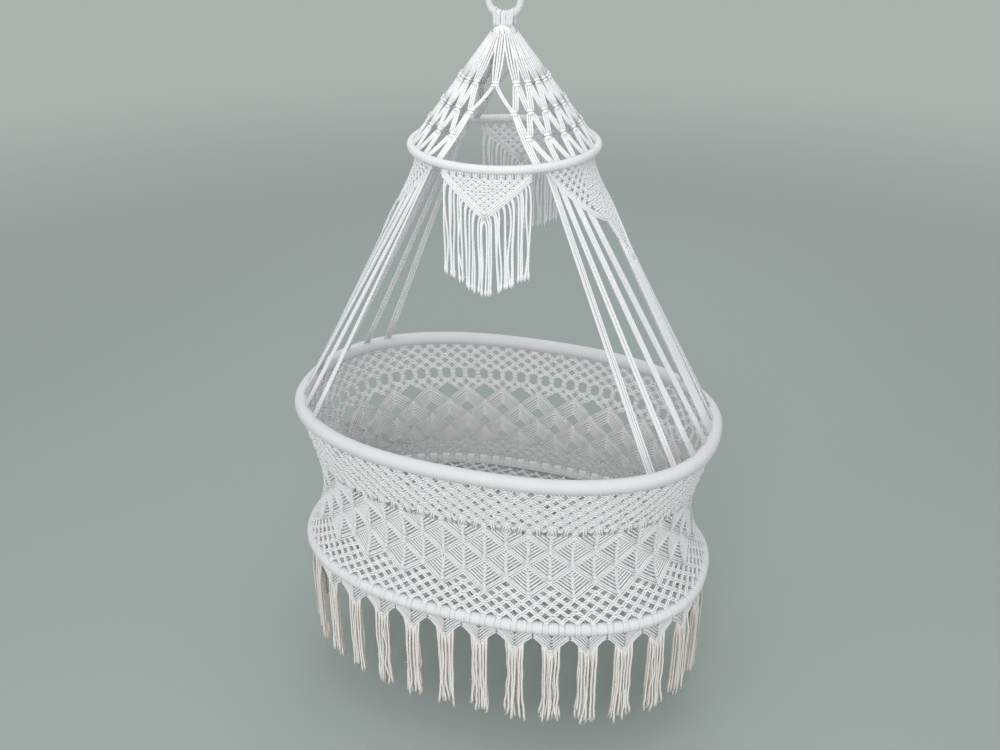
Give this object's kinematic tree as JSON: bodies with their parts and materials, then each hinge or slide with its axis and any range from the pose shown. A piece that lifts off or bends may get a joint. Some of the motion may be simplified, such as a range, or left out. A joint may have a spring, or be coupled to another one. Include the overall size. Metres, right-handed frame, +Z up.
{
  "type": "hanging baby cradle",
  "caption": "Knotted cotton cradle with an oval basket between two hoops, hung by cord bundles from a round canopy hoop and a small ring.",
  "frame": {"origin": "where a hook bears on the ring: the top of the ring's bore, in the ring's plane", "axes": "+Z up, X along the basket, -Y towards the front valance"},
  "size_m": [0.957, 0.631, 1.5057],
  "materials": {
    "knotted_cotton": "natural white cotton cord, knotted",
    "wound_cotton": "natural white cotton cord, wound tight",
    "tassel_cotton": "loose cotton cord, frayed ends",
    "steel": "drawn rod",
    "bentwood": "plain, under its cover"
  },
  "bodies": {
    "ring": {"ring_core": "steel", "ring_wrap": "wound_cotton"},
    "lashing": {"ring_lashing": "wound_cotton"},
    "collar": {"gather_collar": "wound_cotton"},
    "front_fringe": {"front_fringe": "knotted_cotton"},
    "back_fringe": {"back_fringe": "knotted_cotton"},
    "tassel_01": {"tassel_01": "tassel_cotton"},
    "tassel_02": {"tassel_02": "tassel_cotton"},
    "tassel_03": {"tassel_03": "tassel_cotton"},
    "tassel_04": {"tassel_04": "tassel_cotton"},
    "tassel_05": {"tassel_05": "tassel_cotton"},
    "tassel_06": {"tassel_06": "tassel_cotton"},
    "tassel_07": {"tassel_07": "tassel_cotton"},
    "tassel_08": {"tassel_08": "tassel_cotton"},
    "tassel_09": {"tassel_09": "tassel_cotton"},
    "tassel_10": {"tassel_10": "tassel_cotton"},
    "tassel_11": {"tassel_11": "tassel_cotton"},
    "tassel_12": {"tassel_12": "tassel_cotton"},
    "tassel_13": {"tassel_13": "tassel_cotton"},
    "tassel_14": {"tassel_14": "tassel_cotton"},
    "tassel_15": {"tassel_15": "tassel_cotton"},
    "tassel_16": {"tassel_16": "tassel_cotton"},
    "tassel_17": {"tassel_17": "tassel_cotton"},
    "tassel_18": {"tassel_18": "tassel_cotton"},
    "tassel_19": {"tassel_19": "tassel_cotton"},
    "tassel_20": {"tassel_20": "tassel_cotton"},
    "tassel_21": {"tassel_21": "tassel_cotton"},
    "tassel_22": {"tassel_22": "tassel_cotton"},
    "tassel_23": {"tassel_23": "tassel_cotton"},
    "tassel_24": {"tassel_24": "tassel_cotton"},
    "tassel_25": {"tassel_25": "tassel_cotton"},
    "tassel_26": {"tassel_26": "tassel_cotton"},
    "tassel_27": {"tassel_27": "tassel_cotton"},
    "tassel_28": {"tassel_28": "tassel_cotton"},
    "tassel_29": {"tassel_29": "tassel_cotton"},
    "tassel_30": {"tassel_30": "tassel_cotton"},
    "tassel_31": {"tassel_31": "tassel_cotton"},
    "tassel_32": {"tassel_32": "tassel_cotton"},
    "cradle": {"cone_net_right": "knotted_cotton", "cone_net_left": "knotted_cotton", "cone_front_cords": "knotted_cotton", "cone_back_cords": "knotted_cotton", "canopy_hoop_core": "steel", "canopy_hoop_wrap": "wound_cotton", "front_valance": "knotted_cotton", "back_valance": "knotted_cotton", "right_side_net": "knotted_cotton", "left_side_net": "knotted_cotton", "right_front_cords": "knotted_cotton", "right_end_cords": "knotted_cotton", "right_back_cords": "knotted_cotton", "left_back_cords": "knotted_cotton", "left_end_cords": "knotted_cotton", "left_front_cords": "knotted_cotton", "rim_core": "bentwood", "rim_cover": "wound_cotton", "basket_wall": "knotted_cotton", "floor_net": "knotted_cotton", "lower_hoop_core": "bentwood", "lower_hoop_wrap": "wound_cotton"}
  },
  "joints": [
    {"name": "sway_fore_aft", "type": "hinge", "parent": "ring", "child": "lashing", "pos_m": [0, 0, -0.0562], "axis": [1, 0, 0], "range_deg": [-12, 12]},
    {"name": "twist", "type": "hinge", "parent": "lashing", "child": "collar", "pos_m": [0, 0, -0.0725], "axis": [0, 0, 1], "range_deg": [-30, 30]},
    {"name": "sway_side", "type": "hinge", "parent": "collar", "child": "cradle", "pos_m": [0, 0, -0.088], "axis": [0, 1, 0], "range_deg": [-10, 10]},
    {"name": "front_fringe_swing", "type": "hinge", "parent": "cradle", "child": "front_fringe", "pos_m": [0, -0.182, -0.39], "axis": [1, 0, 0], "range_deg": [-8, 8]},
    {"name": "back_fringe_swing", "type": "hinge", "parent": "cradle", "child": "back_fringe", "pos_m": [0, 0.182, -0.39], "axis": [1, 0, 0], "range_deg": [-8, 8]},
    {"name": "tassel_01_swing", "type": "hinge", "parent": "cradle", "child": "tassel_01", "pos_m": [-0.03918, 0.30162, -1.237], "axis": [0.9997, 0.0231, 0], "range_deg": [-15, 15]},
    {"name": "tassel_02_swing", "type": "hinge", "parent": "cradle", "child": "tassel_02", "pos_m": [-0.11733, 0.29689, -1.237], "axis": [0.9947, 0.103, 0], "range_deg": [-15, 15]},
    {"name": "tassel_03_swing", "type": "hinge", "parent": "cradle", "child": "tassel_03", "pos_m": [-0.19466, 0.28473, -1.237], "axis": [0.9772, 0.2121, 0], "range_deg": [-15, 15]},
    {"name": "tassel_04_swing", "type": "hinge", "parent": "cradle", "child": "tassel_04", "pos_m": [-0.2698, 0.26287, -1.237], "axis": [0.9361, 0.3516, 0], "range_deg": [-15, 15]},
    {"name": "tassel_05_swing", "type": "hinge", "parent": "cradle", "child": "tassel_05", "pos_m": [-0.34015, 0.22871, -1.237], "axis": [0.85, 0.5268, 0], "range_deg": [-15, 15]},
    {"name": "tassel_06_swing", "type": "hinge", "parent": "cradle", "child": "tassel_06", "pos_m": [-0.40082, 0.17955, -1.237], "axis": [0.682, 0.7314, 0], "range_deg": [-15, 15]},
    {"name": "tassel_07_swing", "type": "hinge", "parent": "cradle", "child": "tassel_07", "pos_m": [-0.44404, 0.11467, -1.237], "axis": [0.4053, 0.9142, 0], "range_deg": [-15, 15]},
    {"name": "tassel_08_swing", "type": "hinge", "parent": "cradle", "child": "tassel_08", "pos_m": [-0.46337, 0.03912, -1.237], "axis": [0.0975, 0.9952, 0], "range_deg": [-15, 15]},
    {"name": "tassel_09_swing", "type": "hinge", "parent": "cradle", "child": "tassel_09", "pos_m": [-0.46337, -0.03912, -1.237], "axis": [-0.0975, 0.9952, 0], "range_deg": [-15, 15]},
    {"name": "tassel_10_swing", "type": "hinge", "parent": "cradle", "child": "tassel_10", "pos_m": [-0.44404, -0.11467, -1.237], "axis": [-0.4053, 0.9142, 0], "range_deg": [-15, 15]},
    {"name": "tassel_11_swing", "type": "hinge", "parent": "cradle", "child": "tassel_11", "pos_m": [-0.40082, -0.17955, -1.237], "axis": [-0.682, 0.7314, 0], "range_deg": [-15, 15]},
    {"name": "tassel_12_swing", "type": "hinge", "parent": "cradle", "child": "tassel_12", "pos_m": [-0.34015, -0.22871, -1.237], "axis": [-0.85, 0.5268, 0], "range_deg": [-15, 15]},
    {"name": "tassel_13_swing", "type": "hinge", "parent": "cradle", "child": "tassel_13", "pos_m": [-0.2698, -0.26287, -1.237], "axis": [-0.9361, 0.3516, 0], "range_deg": [-15, 15]},
    {"name": "tassel_14_swing", "type": "hinge", "parent": "cradle", "child": "tassel_14", "pos_m": [-0.19466, -0.28473, -1.237], "axis": [-0.9772, 0.2121, 0], "range_deg": [-15, 15]},
    {"name": "tassel_15_swing", "type": "hinge", "parent": "cradle", "child": "tassel_15", "pos_m": [-0.11733, -0.29689, -1.237], "axis": [-0.9947, 0.103, 0], "range_deg": [-15, 15]},
    {"name": "tassel_16_swing", "type": "hinge", "parent": "cradle", "child": "tassel_16", "pos_m": [-0.03918, -0.30162, -1.237], "axis": [-0.9997, 0.0231, 0], "range_deg": [-15, 15]},
    {"name": "tassel_17_swing", "type": "hinge", "parent": "cradle", "child": "tassel_17", "pos_m": [0.03918, -0.30162, -1.237], "axis": [-0.9997, -0.0231, 0], "range_deg": [-15, 15]},
    {"name": "tassel_18_swing", "type": "hinge", "parent": "cradle", "child": "tassel_18", "pos_m": [0.11733, -0.29689, -1.237], "axis": [-0.9947, -0.103, 0], "range_deg": [-15, 15]},
    {"name": "tassel_19_swing", "type": "hinge", "parent": "cradle", "child": "tassel_19", "pos_m": [0.19466, -0.28473, -1.237], "axis": [-0.9772, -0.2121, 0], "range_deg": [-15, 15]},
    {"name": "tassel_20_swing", "type": "hinge", "parent": "cradle", "child": "tassel_20", "pos_m": [0.2698, -0.26287, -1.237], "axis": [-0.9361, -0.3516, 0], "range_deg": [-15, 15]},
    {"name": "tassel_21_swing", "type": "hinge", "parent": "cradle", "child": "tassel_21", "pos_m": [0.34015, -0.22871, -1.237], "axis": [-0.85, -0.5268, 0], "range_deg": [-15, 15]},
    {"name": "tassel_22_swing", "type": "hinge", "parent": "cradle", "child": "tassel_22", "pos_m": [0.40082, -0.17955, -1.237], "axis": [-0.682, -0.7314, 0], "range_deg": [-15, 15]},
    {"name": "tassel_23_swing", "type": "hinge", "parent": "cradle", "child": "tassel_23", "pos_m": [0.44404, -0.11467, -1.237], "axis": [-0.4053, -0.9142, 0], "range_deg": [-15, 15]},
    {"name": "tassel_24_swing", "type": "hinge", "parent": "cradle", "child": "tassel_24", "pos_m": [0.46337, -0.03912, -1.237], "axis": [-0.0975, -0.9952, 0], "range_deg": [-15, 15]},
    {"name": "tassel_25_swing", "type": "hinge", "parent": "cradle", "child": "tassel_25", "pos_m": [0.46337, 0.03912, -1.237], "axis": [0.0975, -0.9952, 0], "range_deg": [-15, 15]},
    {"name": "tassel_26_swing", "type": "hinge", "parent": "cradle", "child": "tassel_26", "pos_m": [0.44404, 0.11467, -1.237], "axis": [0.4053, -0.9142, 0], "range_deg": [-15, 15]},
    {"name": "tassel_27_swing", "type": "hinge", "parent": "cradle", "child": "tassel_27", "pos_m": [0.40082, 0.17955, -1.237], "axis": [0.682, -0.7314, 0], "range_deg": [-15, 15]},
    {"name": "tassel_28_swing", "type": "hinge", "parent": "cradle", "child": "tassel_28", "pos_m": [0.34015, 0.22871, -1.237], "axis": [0.85, -0.5268, 0], "range_deg": [-15, 15]},
    {"name": "tassel_29_swing", "type": "hinge", "parent": "cradle", "child": "tassel_29", "pos_m": [0.2698, 0.26287, -1.237], "axis": [0.9361, -0.3516, 0], "range_deg": [-15, 15]},
    {"name": "tassel_30_swing", "type": "hinge", "parent": "cradle", "child": "tassel_30", "pos_m": [0.19466, 0.28473, -1.237], "axis": [0.9772, -0.2121, 0], "range_deg": [-15, 15]},
    {"name": "tassel_31_swing", "type": "hinge", "parent": "cradle", "child": "tassel_31", "pos_m": [0.11733, 0.29689, -1.237], "axis": [0.9947, -0.103, 0], "range_deg": [-15, 15]},
    {"name": "tassel_32_swing", "type": "hinge", "parent": "cradle", "child": "tassel_32", "pos_m": [0.03918, 0.30162, -1.237], "axis": [0.9997, -0.0231, 0], "range_deg": [-15, 15]}
  ],
  "couplings": [
    {"joint": "tassel_01_swing", "follows": "tassel_17_swing", "ratio": -0.9999},
    {"joint": "tassel_02_swing", "follows": "tassel_17_swing", "ratio": -0.99485},
    {"joint": "tassel_03_swing", "follows": "tassel_17_swing", "ratio": -0.97741},
    {"joint": "tassel_04_swing", "follows": "tassel_17_swing", "ratio": -0.93629},
    {"joint": "tassel_05_swing", "follows": "tassel_17_swing", "ratio": -0.85014},
    {"joint": "tassel_06_swing", "follows": "tassel_17_swing", "ratio": -0.68211},
    {"joint": "tassel_07_swing", "follows": "tassel_17_swing", "ratio": -0.40534},
    {"joint": "tassel_08_swing", "follows": "tassel_17_swing", "ratio": -0.09754},
    {"joint": "tassel_09_swing", "follows": "tassel_17_swing", "ratio": 0.09754},
    {"joint": "tassel_10_swing", "follows": "tassel_17_swing", "ratio": 0.40534},
    {"joint": "tassel_11_swing", "follows": "tassel_17_swing", "ratio": 0.68211},
    {"joint": "tassel_12_swing", "follows": "tassel_17_swing", "ratio": 0.85014},
    {"joint": "tassel_13_swing", "follows": "tassel_17_swing", "ratio": 0.93629},
    {"joint": "tassel_14_swing", "follows": "tassel_17_swing", "ratio": 0.97741},
    {"joint": "tassel_15_swing", "follows": "tassel_17_swing", "ratio": 0.99485},
    {"joint": "tassel_16_swing", "follows": "tassel_17_swing", "ratio": 0.9999},
    {"joint": "tassel_18_swing", "follows": "tassel_17_swing", "ratio": 0.99485},
    {"joint": "tassel_19_swing", "follows": "tassel_17_swing", "ratio": 0.97741},
    {"joint": "tassel_20_swing", "follows": "tassel_17_swing", "ratio": 0.93629},
    {"joint": "tassel_21_swing", "follows": "tassel_17_swing", "ratio": 0.85014},
    {"joint": "tassel_22_swing", "follows": "tassel_17_swing", "ratio": 0.68211},
    {"joint": "tassel_23_swing", "follows": "tassel_17_swing", "ratio": 0.40534},
    {"joint": "tassel_24_swing", "follows": "tassel_17_swing", "ratio": 0.09754},
    {"joint": "tassel_25_swing", "follows": "tassel_17_swing", "ratio": -0.09754},
    {"joint": "tassel_26_swing", "follows": "tassel_17_swing", "ratio": -0.40534},
    {"joint": "tassel_27_swing", "follows": "tassel_17_swing", "ratio": -0.68211},
    {"joint": "tassel_28_swing", "follows": "tassel_17_swing", "ratio": -0.85014},
    {"joint": "tassel_29_swing", "follows": "tassel_17_swing", "ratio": -0.93629},
    {"joint": "tassel_30_swing", "follows": "tassel_17_swing", "ratio": -0.97741},
    {"joint": "tassel_31_swing", "follows": "tassel_17_swing", "ratio": -0.99485},
    {"joint": "tassel_32_swing", "follows": "tassel_17_swing", "ratio": -0.9999}
  ]
}
